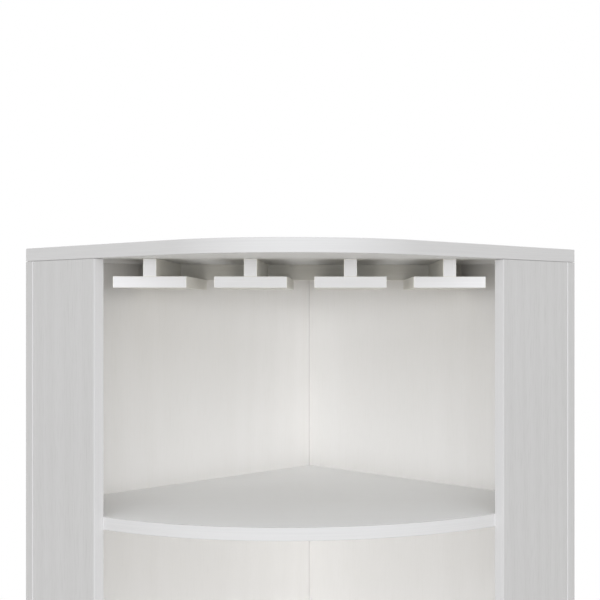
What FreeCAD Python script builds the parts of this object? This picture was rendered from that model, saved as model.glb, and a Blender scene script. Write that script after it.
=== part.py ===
"""A corner bar cabinet: two wall panels at a right angle, two stiles, a bow-fronted top with
stemware rails under it, an open bay, a serving counter and a two-door cupboard below.

The origin is the middle of the box's floor face. +Z is up, the doors face -Y and the back
corner points along +Y. All lengths are millimetres.

In plan each side has its own pair of directions. The first, along, runs on the wall panel from
its free end towards the back corner. The second, inward, is square to it, from the panel's
outer face into the room, which is the way the stile goes. The left side is -1, the right is +1.
"""

import FreeCAD, Part
import math
import os

# Plan of the carcass
wall_side = 550.0
wall_thickness = 18.0
stile_reach = 170.0
stile_thickness = 14.0
front_radius = 208.0
shelf_bow = 84.0

# Heights of the carcass
total_height = 1800.0
top_thickness = 18.0
shelf_thickness = 17.0
display_clear = 340.0
counter_height = 900.0
plinth_height = 80.0
arris_radius = 0.8
joint_radius = 1.6
shadow_line_height = 0.7
shadow_line_depth = 2.0

# Stemware rails under the top
rail_count = 4
web_width = 17.0
web_height = 23.5
flange_width = 95.5
flange_thickness = 15.0
rail_length = 242.0
rail_setback = 3.0
rail_side_gap = 13.5
rail_wall_gap = 1.5
back_rail_thickness = 18.0

# Cupboard shelf and plinth
cupboard_shelf_thickness = 17.0
cupboard_shelf_height = 480.0
cupboard_shelf_setback = 30.0
cupboard_shelf_gap = 2.0
plinth_thickness = 15.0
plinth_setback = 25.0

# Doors and their pivots
door_thickness = 16.0
door_side_gap = 2.0
door_middle_gap = 3.0
door_end_gap = 3.0
pivot_inset = 12.0
pivot_diameter = 6.0
pivot_in_door = 24.0
pivot_in_bush = 9.0
pivot_clearance = 0.06
collar_diameter = 11.0
bush_diameter = 10.0
bush_depth = 12.0
bush_flange_diameter = 14.0
bush_flange_thickness = 1.4
thrust_gap = 0.1

# Knobs and the screws that hold them
knob_edge_inset = 34.0
knob_drop = 110.0
knob_foot_diameter = 15.0
knob_neck_diameter = 9.0
knob_head_diameter = 28.0
knob_neck_length = 11.0
knob_head_thickness = 12.0
knob_screw_diameter = 4.0
knob_screw_head_diameter = 8.0
knob_screw_head_thickness = 2.4
knob_screw_bite = 9.0

# Magnetic catches
catch_length = 46.0
catch_depth = 14.0
catch_height = 12.0
catch_from_middle = 60.0
catch_gap = 0.4
strike_length = 34.0
strike_thickness = 1.5

# Screws: length, shank diameter, head diameter, head depth
board_screw = (50.0, 6.5, 10.0, 4.0)
slim_screw = (50.0, 4.0, 8.0, 3.5)
back_rail_screw = (35.0, 4.0, 8.0, 3.5)
small_screw = (16.0, 3.0, 6.0, 2.0)
screw_clearance = 0.05
head_sink = 0.3

# Dowels, shelf pins and floor glides
dowel_diameter = 8.0
dowel_length = 30.0
dowel_in_board = 12.0
dowel_clearance = 0.1
shelf_pin_diameter = 5.0
shelf_pin_in_panel = 9.0
shelf_pin_reach = 9.0
shelf_pin_collar_diameter = 8.0
shelf_pin_collar_thickness = 1.2
pin_hole_pitch = 32.0
pin_hole_steps = 2
glide_diameter = 14.0
glide_height = 5.0
glide_nail_diameter = 2.0
glide_nail_length = 14.0

overrun = 1.0

# Places of fasteners and glides, as shares of the length that they are spread over
shelf_screw_shares = (0.2, 0.5, 0.8)
corner_screw_shares = (0.06, 0.3, 0.62, 0.94)
stile_screw_shares = (0.08, 0.29, 0.42, 0.65, 0.9)
rail_screw_shares = (0.12, 0.5, 0.88)
back_rail_screw_shares = (0.12, 0.5, 0.88)
wall_dowel_shares = (0.16, 0.5, 0.84)
stile_dowel_shares = (0.22, 0.78)
plinth_dowel_shares = (0.2, 0.8)
shelf_pin_shares = (0.3, 0.75)
stile_pin_share = 0.55
wall_glide_shares = (0.1, 0.5, 0.9)
stile_glide_share = 0.85
catch_screw_share = 0.3
knob_belly_share = 0.35

# Heights and plan places worked out from the sizes above
Vector = FreeCAD.Vector
UP = Vector(0, 0, 1)
LEFT, RIGHT = -1, 1
SIDES = {"left": LEFT, "right": RIGHT}
diagonal = 1 / math.sqrt(2)
half_width = wall_side * diagonal
tangent_x = front_radius * diagonal
front_reach = half_width - 2 * tangent_x + front_radius
wall_end_y = (front_reach - half_width) / 2
side_top = total_height - top_thickness
side_height = side_top - glide_height
display_shelf_top = side_top - display_clear
cupboard_top = counter_height - shelf_thickness
base_top = plinth_height + shelf_thickness


def side_vector(side, along, inward):
    """The plan vector of a length along a wall panel and a length square to it."""
    return Vector(-side * (along + inward) * diagonal, (along - inward) * diagonal, 0)


def side_point(side, along, inward, z=0.0):
    """A point measured from the outer corner of a side's free wall end."""
    return Vector(side * half_width, wall_end_y, z) + side_vector(side, along, inward)


stile_arris = side_point(RIGHT, stile_thickness, stile_reach)
opening_half = stile_arris.x
rail_front_y = side_point(RIGHT, 0.0, stile_reach).y + rail_setback
rail_back_y = rail_front_y + rail_length
rail_pitch = (2 * opening_half - 2 * rail_side_gap - flange_width) / (rail_count - 1)
rail_xs = [rail_pitch * (n - (rail_count - 1) / 2) for n in range(rail_count)]
inner_corner_y = wall_end_y + half_width - wall_thickness / diagonal
door_front_y = stile_arris.y
door_back_y = door_front_y + door_thickness
pivot_x = opening_half - door_side_gap - pivot_inset
pivot_y = door_front_y + door_thickness / 2
door_bottom = base_top + door_end_gap
door_top = cupboard_top - door_end_gap
knob_x = door_middle_gap / 2 + knob_edge_inset
knob_z = door_top - knob_drop
strike_z = cupboard_top - catch_height
strike_height = door_top - strike_z
plinth_front_y = stile_arris.y + plinth_setback


def face_of(edges):
    """The flat face inside a closed run of edges."""
    return Part.Face(Part.Wire(Part.__sortEdges__(edges)))


def lines(points):
    """Straight edges from each point to the next."""
    return [Part.makeLine(a, b) for a, b in zip(points, points[1:])]


def plate(edges, z, thickness):
    """A flat board from its outline, with its underside at z."""
    board = face_of(edges).extrude(Vector(0, 0, thickness))
    board.translate(Vector(0, 0, z))
    return board


def polygon(points, z, thickness):
    """A flat board with straight sides."""
    return plate(lines(points + points[:1]), z, thickness)


def box(low, high):
    """A block from its lowest to its highest corner."""
    size = high - low
    return Part.makeBox(size.x, size.y, size.z, low)


def side_block(side, along, inward, z, height):
    """A block in a side's own directions, from a pair of lengths each way."""
    corners = [(0, 0), (1, 0), (1, 1), (0, 1)]
    return polygon([side_point(side, along[a], inward[b]) for a, b in corners], z, height)


def rod(diameter, length, start, direction=UP):
    """A round bar from its start along a direction."""
    return Part.makeCylinder(diameter / 2, length, start, direction)


def mirrored(points):
    """The points' mirror images, in the opposite order."""
    return [Vector(-p.x, p.y, p.z) for p in reversed(points)]


def soften(board, wanted, radius=arris_radius):
    """The board with the edges that wanted picks rounded, by the arris radius unless told."""
    return board.makeFillet(radius, [edge for edge in board.Edges if wanted(edge)])


def on_front(edge):
    """Whether an edge is a long, level one of a board's front."""
    level = edge.BoundBox.ZLength < arris_radius
    return level and edge.CenterOfMass.y < stile_arris.y + arris_radius and edge.Length > wall_thickness


def upright_at(*points):
    """A test for the upright edges that stand on given plan points."""
    def wanted(edge):
        middle = edge.CenterOfMass
        near = [p for p in points if math.hypot(middle.x - p.x, middle.y - p.y) < arris_radius]
        return bool(near) and edge.BoundBox.ZLength > wall_thickness
    return wanted


def bow(half, end_y, reach):
    """An arc from (-half, end_y) to (half, end_y) that comes forward by reach."""
    left, right = Vector(-half, end_y, 0), Vector(half, end_y, 0)
    return Part.Arc(left, Vector(0, end_y - reach, 0), right).toShape()


def front_bow():
    """The rounded front of the top and the counter, tangent to the line of both stile faces."""
    end_y = wall_end_y - (half_width - tangent_x)
    return bow(tangent_x, end_y, front_radius * (1 - diagonal)), Vector(tangent_x, end_y, 0)


def room_outline(gap=0.0):
    """Right half of the room inside the panels: back corner, stile's foot, stile's arris."""
    corner = Vector(0, inner_corner_y - gap / diagonal, 0)
    foot = side_point(RIGHT, stile_thickness + gap, wall_thickness + gap)
    arris = side_point(RIGHT, stile_thickness + gap, stile_reach)
    return [corner, foot, arris]


def room_behind(front_y, gap, z, thickness):
    """A board that fills the room inside the panels behind a straight front."""
    corner, foot, arris = room_outline(gap)
    share = (front_y - foot.y) / (arris.y - foot.y)
    front = foot + (arris - foot) * share
    front.y = front_y
    half = [front, foot, corner]
    return polygon(half + mirrored(half[:2]), z, thickness)


def screw(size, start, direction, clearance=0.0):
    """A countersunk screw from the middle of its head's face, or its hole with a clearance."""
    length, shank, head, head_depth = size
    radius = shank / 2 + clearance
    profile = [
        Vector(0, 0, 0),
        Vector(head / 2 + clearance, 0, 0),
        Vector(radius, 0, head_depth),
        Vector(radius, 0, length - shank),
        Vector(0, 0, length + clearance),
    ]
    body = face_of(lines(profile + profile[:1])).revolve(Vector(), UP, 360)
    if clearance:
        body = body.fuse(rod(head + 2 * clearance, overrun, Vector(0, 0, -overrun)))
    else:
        body = body.cut(socket(head / 2, head_depth / 2))
    body.Placement = FreeCAD.Placement(start, FreeCAD.Rotation(UP, direction))
    return body


def socket(width, depth):
    """The six-sided socket in a screw's head."""
    turns = [n * math.pi / 3 for n in range(6)]
    corners = [Vector(width / 2 * math.cos(turn), width / 2 * math.sin(turn), 0) for turn in turns]
    return polygon(corners, -depth, 2 * depth)


def screws(size, places):
    """Screws at places, each a start and a direction, sunk a little under the surface."""
    return [screw(size, start + direction * head_sink, direction) for start, direction in places]


def screw_holes(size, places):
    """The holes for the same screws."""
    return [
        screw(size, start + direction * head_sink, direction, screw_clearance)
        for start, direction in places
    ]


def through_wall(side, along, z):
    """A screw's place on a wall panel's outer face."""
    return side_point(side, along, 0.0, z), side_vector(side, 0.0, 1.0)


def shelf_screw_places():
    """Screws through the wall panels into the back edges of the three fixed boards."""
    heights = [top - shelf_thickness / 2 for top in (display_shelf_top, counter_height, base_top)]
    return [
        through_wall(side, wall_side * share, z)
        for side in SIDES.values() for z in heights for share in shelf_screw_shares
    ]


def stile_screw_places():
    """Screws through each wall panel into the edge of its stile."""
    return [
        through_wall(side, stile_thickness / 2, glide_height + side_height * share)
        for side in SIDES.values() for share in stile_screw_shares
    ]


def corner_screw_places():
    """Screws through the left panel into the end of the right one, at the back corner."""
    along = wall_side - wall_thickness / 2
    heights = [glide_height + side_height * share for share in corner_screw_shares]
    return [through_wall(LEFT, along, z) for z in heights]


def rail_screw_places():
    """Screws up through the flanges and webs into the top."""
    z = side_top - web_height - flange_thickness
    ys = [rail_front_y + rail_length * share for share in rail_screw_shares]
    return [(Vector(x, y, z), UP) for x in rail_xs for y in ys]


def back_rail_screw_places():
    """Screws up through the back rail into the top, spread over its back face."""
    y = rail_back_y + back_rail_thickness / 2
    half = inner_corner_y - rail_back_y - back_rail_thickness
    z = side_top - web_height
    return [(Vector(half * (2 * share - 1), y, z), UP) for share in back_rail_screw_shares]


def top_dowel_places():
    """Places of the dowels between the sides and the top, on the plane where they meet."""
    span = stile_reach - wall_thickness
    walls = [(wall_side * share, wall_thickness / 2) for share in wall_dowel_shares]
    stiles = [(stile_thickness / 2, wall_thickness + span * share) for share in stile_dowel_shares]
    return [side_point(side, *place, side_top) for side in SIDES.values() for place in walls + stiles]


def plinth_dowel_places():
    """Places of the dowels between the plinth and the base board."""
    y = plinth_front_y + plinth_thickness / 2
    half = opening_half + plinth_setback
    return [Vector(half * (2 * share - 1), y, plinth_height) for share in plinth_dowel_shares]


def dowels(places, clearance=0.0):
    """Upright dowels across a joint, or their holes with a clearance."""
    below = Vector(0, 0, dowel_length - dowel_in_board + clearance)
    length = dowel_length + 2 * clearance
    return [rod(dowel_diameter + 2 * clearance, length, place - below) for place in places]


def shelf_pin_places():
    """Where the cupboard shelf's pins leave the wall panels and the stiles."""
    z = cupboard_shelf_height - cupboard_shelf_thickness - shelf_pin_diameter / 2
    span = wall_thickness + (stile_reach - wall_thickness) * stile_pin_share
    places = []
    for side in SIDES.values():
        for share in shelf_pin_shares:
            start = side_point(side, wall_side * share, wall_thickness, z)
            places.append((start, side_vector(side, 0.0, 1.0)))
        start = side_point(side, stile_thickness, span, z)
        places.append((start, side_vector(side, 1.0, 0.0)))
    return places


def shelf_pins():
    """Steel pins with a collar that stops them against the panel."""
    pins = []
    for start, direction in shelf_pin_places():
        back = start - direction * shelf_pin_in_panel
        shank = rod(shelf_pin_diameter, shelf_pin_in_panel + shelf_pin_reach, back, direction)
        collar = rod(shelf_pin_collar_diameter, shelf_pin_collar_thickness, start, direction)
        pins.append(shank.fuse(collar))
    return pins


def shelf_pin_holes():
    """The pins' holes in the panels, and spare ones above and below for other shelf heights."""
    size = shelf_pin_diameter + 2 * screw_clearance
    depth = shelf_pin_in_panel + screw_clearance
    rises = [UP * pin_hole_pitch * step for step in range(-pin_hole_steps, pin_hole_steps + 1)]
    return [
        rod(size, depth + overrun, start + rise - direction * depth, direction)
        for start, direction in shelf_pin_places() for rise in rises
    ]


def glide_places():
    """The middles of the floor glides under the wall panels and stiles."""
    span = stile_reach - wall_thickness
    places = [(wall_side * share, wall_thickness / 2) for share in wall_glide_shares]
    places.append((stile_thickness / 2, wall_thickness + span * stile_glide_share))
    return [side_point(side, *place) for side in SIDES.values() for place in places]


def floor_glides():
    """Nail-on glides: a disc with a rounded foot and the nail above it."""
    glides = []
    for place in glide_places():
        disc = rod(glide_diameter, glide_height, place)
        foot = [edge for edge in disc.Edges if edge.BoundBox.ZMax < glide_height / 2]
        disc = disc.makeFillet(arris_radius, foot)
        glides.append(disc.fuse(rod(glide_nail_diameter, glide_height + glide_nail_length, place)))
    return glides


def glide_holes():
    """The nails' holes."""
    size = glide_nail_diameter + 2 * screw_clearance
    length = glide_height + glide_nail_length + screw_clearance
    return [rod(size, length, place) for place in glide_places()]


def side_holes():
    """The holes that wall panels and stiles share, for screws, dowels, shelf pins and glides."""
    return (
        screw_holes(slim_screw, stile_screw_places())
        + dowels(top_dowel_places(), dowel_clearance)
        + shelf_pin_holes()
        + glide_holes()
    )


def with_joint_groove(side, board):
    """The board with its edge rounded where panel and stile meet, half of a groove up the front."""
    return soften(board, upright_at(side_point(side, 0, wall_thickness)), joint_radius)


def shadow_line(side, *blocks):
    """Cuts that set a side's top edge back, for the thin line under the top. Plan lengths in pairs."""
    z = side_top - shadow_line_height
    height = shadow_line_height + overrun
    return [side_block(side, along, inward, z, height) for along, inward in blocks]


def wall_panel(side):
    """A wall panel. The left one covers the end of the right one at the back corner."""
    length = wall_side if side == LEFT else wall_side - wall_thickness
    panel = side_block(side, (0, length), (0, wall_thickness), glide_height, side_height)
    arrises = [side_point(side, 0, 0)]
    if side == RIGHT:
        arrises.append(side_point(side, length, wall_thickness))
    panel = with_joint_groove(side, soften(panel, upright_at(*arrises)))
    outer = ((-overrun, length + overrun), (-overrun, shadow_line_depth))
    ends = [((-overrun, shadow_line_depth), (-overrun, wall_thickness))]
    if side == LEFT:
        ends.append(((length - shadow_line_depth, length + overrun), (-overrun, wall_thickness)))
    holes = screw_holes(board_screw, shelf_screw_places() + corner_screw_places())
    return panel.cut(shadow_line(side, outer, *ends) + holes + side_holes())


def stile(side):
    """A stile: a narrow board square to the wall panel, flush with the panel's end."""
    reach = (wall_thickness, stile_reach)
    board = side_block(side, (0, stile_thickness), reach, glide_height, side_height)
    fronts = [side_point(side, along, stile_reach) for along in (0, stile_thickness)]
    board = with_joint_groove(side, soften(board, upright_at(*fronts)))
    front = ((-overrun, shadow_line_depth), (wall_thickness, stile_reach + overrun))
    edge = ((-overrun, stile_thickness), (stile_reach - shadow_line_depth, stile_reach + overrun))
    return board.cut(shadow_line(side, front, edge) + side_holes())


def top_board():
    """The top: straight over both wall panels and stiles, then bowed between them."""
    arc, tangent = front_bow()
    sides = [tangent, side_point(RIGHT, 0, 0), Vector(0, wall_end_y + half_width, 0)]
    outline = [arc] + lines(sides + mirrored(sides[:2]))
    board = soften(plate(outline, side_top, top_thickness), on_front)
    holes = screw_holes(slim_screw, rail_screw_places())
    holes += screw_holes(back_rail_screw, back_rail_screw_places())
    return board.cut(holes + dowels(top_dowel_places(), dowel_clearance))


def display_shelf():
    """The shelf under the stemware: between the panels, bowed from arris to arris."""
    half = room_outline()[::-1]
    outline = [bow(opening_half, stile_arris.y, shelf_bow)] + lines(half + mirrored(half[:2]))
    board = plate(outline, display_shelf_top - shelf_thickness, shelf_thickness)
    return soften(board, on_front).cut(screw_holes(board_screw, shelf_screw_places()))


def counter_board():
    """The serving counter: round the stiles' front edges, with the same bow as the top."""
    arc, tangent = front_bow()
    half = [tangent, side_point(RIGHT, 0, stile_reach)] + room_outline()[::-1]
    outline = [arc] + lines(half + mirrored(half[:4]))
    board = soften(plate(outline, cupboard_top, shelf_thickness), on_front)
    holes = screw_holes(board_screw, shelf_screw_places())
    holes += [bush_hole(side, cupboard_top, UP) for side in SIDES.values()]
    holes += screw_holes(small_screw, catch_screw_places())
    return board.cut(holes)


def base_board():
    """The cupboard's floor: between the panels, with a straight front under the doors."""
    board = room_behind(door_front_y, 0.0, plinth_height, shelf_thickness)
    holes = screw_holes(board_screw, shelf_screw_places())
    holes += [bush_hole(side, base_top, -UP) for side in SIDES.values()]
    return board.cut(holes + dowels(plinth_dowel_places(), dowel_clearance))


def cupboard_shelf():
    """The loose shelf in the cupboard, resting on its pins."""
    z = cupboard_shelf_height - cupboard_shelf_thickness
    front_y = door_back_y + cupboard_shelf_setback
    return room_behind(front_y, cupboard_shelf_gap, z, cupboard_shelf_thickness)


def plinth_board():
    """The board under the base, between the stiles and set back from the doors."""
    back_y = plinth_front_y + plinth_thickness
    ends = [side_x(y) for y in (plinth_front_y, back_y)]
    half = [Vector(ends[0], plinth_front_y, 0), Vector(ends[1], back_y, 0)]
    board = polygon(half + mirrored(half), glide_height, plinth_height - glide_height)
    return board.cut(dowels(plinth_dowel_places(), dowel_clearance))


def side_x(y):
    """How far the stiles' inner faces lie from the middle at a given y."""
    return opening_half + y - stile_arris.y


def web(x):
    """The upright part of a stemware rail, screwed up against the top, with a thin line under it."""
    low = Vector(x - web_width / 2, rail_front_y, side_top - web_height)
    high = Vector(x + web_width / 2, rail_back_y, side_top)
    line = box(
        Vector(low.x - overrun, low.y - overrun, side_top - shadow_line_height),
        Vector(high.x + overrun, low.y + shadow_line_depth, side_top + overrun),
    )
    return box(low, high).cut([line] + screw_holes(slim_screw, rail_screw_places()))


def flange(x):
    """The flat part of a stemware rail, under its web and clipped clear of the wall panel."""
    z = side_top - web_height - flange_thickness
    low = Vector(x - flange_width / 2, rail_front_y, z)
    high = Vector(x + flange_width / 2, rail_back_y, z + flange_thickness)
    room = room_outline(rail_wall_gap)[:2]
    half = [Vector(room[1].x, rail_front_y - overrun, 0), room[1], room[0]]
    clear = polygon(half + mirrored(half[:2]), z, flange_thickness)
    board = box(low, high).common(clear)
    front = rail_front_y + arris_radius
    board = soften(board, lambda edge: edge.CenterOfMass.y < front and edge.Length > web_width)
    return board.cut(screw_holes(slim_screw, rail_screw_places()))


def back_rail():
    """The rail that the webs end on, from wall panel to wall panel."""
    fronts = [inner_corner_y - rail_back_y, inner_corner_y - rail_back_y - back_rail_thickness]
    half = [Vector(fronts[0], rail_back_y, 0), Vector(fronts[1], rail_back_y + back_rail_thickness, 0)]
    board = polygon(half + mirrored(half), side_top - web_height, web_height)
    return board.cut(screw_holes(back_rail_screw, back_rail_screw_places()))


def pivot_point(side, z):
    """A point on a door's pivot line."""
    return Vector(side * pivot_x, pivot_y, z)


def bush(side, z, into):
    """A flanged bush in a board, its flange on the board's face at z."""
    start = pivot_point(side, z)
    rim_start = start - into * bush_flange_thickness
    barrel = rod(bush_diameter, bush_depth, start, into)
    rim = rod(bush_flange_diameter, bush_flange_thickness, rim_start, into)
    bore_length = bush_flange_thickness + pivot_in_bush + overrun
    bore = rod(pivot_diameter + 2 * pivot_clearance, bore_length, rim_start, into)
    return barrel.fuse(rim).cut(bore)


def bush_hole(side, z, into):
    """The hole that a bush is pressed into."""
    return rod(bush_diameter, bush_depth, pivot_point(side, z), into)


def hinge_bushes():
    """The four bushes: two in the counter's underside and two in the base."""
    ends = [(cupboard_top, UP), (base_top, -UP)]
    return [bush(side, z, into) for side in SIDES.values() for z, into in ends]


def pivot_pins(side):
    """A door's two pins, each with the collar that keeps the door off the bush."""
    pins = []
    for z, into in ((door_top, UP), (door_bottom, -UP)):
        start = pivot_point(side, z)
        reach = door_end_gap + pivot_in_bush
        shank = rod(pivot_diameter, pivot_in_door + reach, start - into * pivot_in_door, into)
        collar_height = door_end_gap - bush_flange_thickness - thrust_gap
        pins.append(shank.fuse(rod(collar_diameter, collar_height, start, into)))
    return pins


def knob_point(side, y):
    """A point on a knob's middle line."""
    return Vector(side * knob_x, y, knob_z)


def door_panel(side):
    """A flat door with holes for its pins, its knob screw and its strike plate."""
    inner, outer = door_middle_gap / 2, opening_half - door_side_gap
    low = Vector(min(side * inner, side * outer), door_front_y, door_bottom)
    high = Vector(max(side * inner, side * outer), door_back_y, door_top)
    board = box(low, high)
    board = soften(board, lambda edge: edge.CenterOfMass.y < door_front_y + arris_radius)
    holes = [
        rod(pivot_diameter, pivot_in_door + overrun, pivot_point(side, z) - into * pivot_in_door, into)
        for z, into in ((door_top, UP), (door_bottom, -UP))
    ]
    size = knob_screw_diameter + 2 * screw_clearance
    start = knob_point(side, door_front_y - overrun)
    holes.append(rod(size, door_thickness + 2 * overrun, start, Vector(0, 1, 0)))
    return board.cut(holes + screw_holes(small_screw, [strike_screw_place(side)]))


def knob(side):
    """A turned knob: a foot, a neck and a domed head."""
    foot, neck, head = (d / 2 for d in (knob_foot_diameter, knob_neck_diameter, knob_head_diameter))
    head_end = knob_neck_length + knob_head_thickness
    belly = knob_neck_length + knob_head_thickness * knob_belly_share
    throat = Vector(neck, 0, knob_neck_length / 2)
    dome = (head ** 2 + (head_end - belly) ** 2) / (2 * (head_end - belly))
    half_turn = math.asin(head / dome) / 2
    crown = Vector(dome * math.sin(half_turn), 0, head_end - dome * (1 - math.cos(half_turn)))
    edges = [Part.Arc(Vector(foot, 0, 0), throat, Vector(neck, 0, knob_neck_length)).toShape()]
    edges += lines([Vector(neck, 0, knob_neck_length), Vector(head, 0, belly)])
    edges += [Part.Arc(Vector(head, 0, belly), crown, Vector(0, 0, head_end)).toShape()]
    edges += lines([Vector(0, 0, head_end), Vector(0, 0, 0), Vector(foot, 0, 0)])
    body = face_of(edges).revolve(Vector(), UP, 360)
    hole = rod(knob_screw_diameter + 2 * screw_clearance, knob_screw_bite + screw_clearance, Vector())
    body = body.cut(hole)
    forward = FreeCAD.Rotation(UP, Vector(0, -1, 0))
    body.Placement = FreeCAD.Placement(knob_point(side, door_front_y), forward)
    return body


def knob_screw(side):
    """The screw from the door's back into the knob."""
    forward = Vector(0, -1, 0)
    start = knob_point(side, door_back_y)
    shank = rod(knob_screw_diameter, door_thickness + knob_screw_bite, start, forward)
    head = rod(knob_screw_head_diameter, knob_screw_head_thickness, start, -forward)
    rim = [edge for edge in head.Edges if edge.CenterOfMass.y > start.y + knob_screw_head_thickness / 2
           and edge.BoundBox.YLength < arris_radius]
    return shank.fuse(head.makeFillet(arris_radius, rim))


def strike_screw_place(side):
    """The strike plate's screw, from the plate's face into the door."""
    y = door_back_y + strike_thickness
    return Vector(side * catch_from_middle, y, strike_z + strike_height / 2), Vector(0, -1, 0)


def strike_plate(side):
    """The steel plate on a door's back that the magnet holds."""
    x = side * catch_from_middle
    low = Vector(x - strike_length / 2, door_back_y, strike_z)
    high = Vector(x + strike_length / 2, door_back_y + strike_thickness, strike_z + strike_height)
    return box(low, high).cut(screw_holes(small_screw, [strike_screw_place(side)]))


def catch_y():
    """The front face of a magnetic catch."""
    return door_back_y + strike_thickness + catch_gap


def catch_screw_places():
    """Screws up through the catches into the counter."""
    y = catch_y() + catch_depth / 2
    z = cupboard_top - catch_height
    xs = [side * catch_from_middle + catch_length * share
          for side in SIDES.values() for share in (-catch_screw_share, catch_screw_share)]
    return [(Vector(x, y, z), UP) for x in xs]


def catch(side):
    """A magnetic catch under the counter."""
    x = side * catch_from_middle
    low = Vector(x - catch_length / 2, catch_y(), cupboard_top - catch_height)
    high = Vector(x + catch_length / 2, catch_y() + catch_depth, cupboard_top)
    block = soften(box(low, high), lambda edge: edge.BoundBox.ZLength > arris_radius)
    return block.cut(screw_holes(small_screw, catch_screw_places()))


def build_nodes():
    """Every node's solids by name."""
    nodes = {
        "top_board": [top_board()],
        "display_shelf": [display_shelf()],
        "counter_board": [counter_board()],
        "base_board": [base_board()],
        "cupboard_shelf": [cupboard_shelf()],
        "plinth_board": [plinth_board()],
        "stemware_back_rail": [back_rail()],
        "hinge_bushes": hinge_bushes(),
        "top_dowels": dowels(top_dowel_places()),
        "plinth_dowels": dowels(plinth_dowel_places()),
        "shelf_pins": shelf_pins(),
        "floor_glides": floor_glides(),
        "shelf_screws": screws(board_screw, shelf_screw_places()),
        "corner_screws": screws(board_screw, corner_screw_places()),
        "stile_screws": screws(slim_screw, stile_screw_places()),
        "stemware_rail_screws": screws(slim_screw, rail_screw_places()),
        "back_rail_screws": screws(back_rail_screw, back_rail_screw_places()),
        "catch_screws": screws(small_screw, catch_screw_places()),
    }
    for number, x in enumerate(rail_xs, start=1):
        nodes[f"stemware_web_{number}"] = [web(x)]
        nodes[f"stemware_flange_{number}"] = [flange(x)]
    for name, side in SIDES.items():
        nodes[f"wall_panel_{name}"] = [wall_panel(side)]
        nodes[f"stile_{name}"] = [stile(side)]
        nodes[f"magnetic_catch_{name}"] = [catch(side)]
        nodes[f"door_{name}"] = [door_panel(side)]
        nodes[f"pivot_pins_{name}"] = pivot_pins(side)
        nodes[f"knob_{name}"] = [knob(side)]
        nodes[f"knob_screw_{name}"] = [knob_screw(side)]
        nodes[f"strike_plate_{name}"] = [strike_plate(side)]
        nodes[f"strike_screw_{name}"] = screws(small_screw, [strike_screw_place(side)])
    return nodes


def write_nodes(nodes):
    """One STEP file for each node. Solids that belong together go in as a compound."""
    os.makedirs("parts", exist_ok=True)
    for name, solids in nodes.items():
        shape = solids[0] if len(solids) == 1 else Part.makeCompound(solids)
        shape.exportStep(os.path.join("parts", f"{name}.step"))
        print(f"{name}: {len(solids)} solid(s), {shape.Volume / 1000:.1f} cm3, valid {shape.isValid()}")


write_nodes(build_nodes())
print(f"door pivots at x {pivot_x:.3f}, y {pivot_y:.3f}, between z {door_bottom:.1f} and {door_top:.1f}")
print(f"wall ends at x {half_width:.3f}, y {wall_end_y:.3f}; inner corner at y {inner_corner_y:.3f}")
print(f"stile arris at x {stile_arris.x:.3f}, y {stile_arris.y:.3f}; rails at {rail_xs}")
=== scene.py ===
"""Finishes, edge bands, studio and camera for a white corner bar cabinet.

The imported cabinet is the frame. Its boards and fittings keep their shapes and get procedural
finishes, and the bands on the boards' edges, which the solids leave out, are modelled here. All
lengths are metres in the cabinet's own frame: +Z is up, the doors face -Y and the back corner
points along +Y.
"""

import logging
import math
from collections.abc import Callable, Iterator
from contextlib import contextmanager
from dataclasses import dataclass, field
from enum import Enum

import bmesh
import bpy
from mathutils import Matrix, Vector


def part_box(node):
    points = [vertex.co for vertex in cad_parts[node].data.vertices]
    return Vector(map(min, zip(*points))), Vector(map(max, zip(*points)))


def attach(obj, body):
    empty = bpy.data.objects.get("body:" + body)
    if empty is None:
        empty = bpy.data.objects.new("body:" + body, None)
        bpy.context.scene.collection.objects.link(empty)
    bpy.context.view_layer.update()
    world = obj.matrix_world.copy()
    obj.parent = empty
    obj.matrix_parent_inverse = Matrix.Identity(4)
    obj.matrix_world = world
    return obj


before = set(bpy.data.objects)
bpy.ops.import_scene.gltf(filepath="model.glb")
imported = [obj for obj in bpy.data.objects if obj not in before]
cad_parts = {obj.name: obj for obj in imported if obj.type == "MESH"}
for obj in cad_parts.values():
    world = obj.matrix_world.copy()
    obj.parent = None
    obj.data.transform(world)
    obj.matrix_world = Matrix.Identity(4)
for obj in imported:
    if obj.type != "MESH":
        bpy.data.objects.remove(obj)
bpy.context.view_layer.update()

MM = 0.001
LOG = logging.getLogger("corner_bar_cabinet")
DIAGONAL = 1 / math.sqrt(2)
FORWARD = Vector((0, -1, 0))
POLYMER_IOR = 1.5
WAVE_SCALE = math.tau / 20  # at this scale the Wave texture repeats once per unit
ROUNDED_BELOW = math.radians(35)  # faces that turn less than this are shaded as one round


class Side(Enum):
    """A side of the cabinet. The value is the sign of its X."""

    LEFT = -1
    RIGHT = 1

    @property
    def label(self) -> str:
        """The side's name as it stands in node and piece names."""
        return self.name.lower()


class Grain(Enum):
    """Which way a grain runs. The value marks the axes that the pattern is drawn out along."""

    UPRIGHT = (False, False, True)
    LEVEL = (True, False, False)
    AROUND = (True, True, False)

    def scale(self, across: float, along: float) -> tuple[float, float, float]:
        """Gives the pattern's scale on each axis.

        Args:
            across: The pattern's real size across the grain.
            along: Its real size along the grain.

        Returns:
            One over the real size, for X, Y and Z.
        """
        return tuple(1 / (along if drawn_out else across) for drawn_out in self.value)


def to_linear(hex_colour: str) -> tuple[float, float, float, float]:
    """Turns an sRGB hex colour into linear RGBA.

    Args:
        hex_colour: Six hex digits after a hash sign.

    Returns:
        The colour as a shader wants it, with full alpha.
    """
    shares = [int(hex_colour[place:place + 2], 16) / 255 for place in (1, 3, 5)]
    linear = [s / 12.92 if s <= 0.04045 else ((s + 0.055) / 1.055) ** 2.4 for s in shares]
    return (*linear, 1.0)


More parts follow.
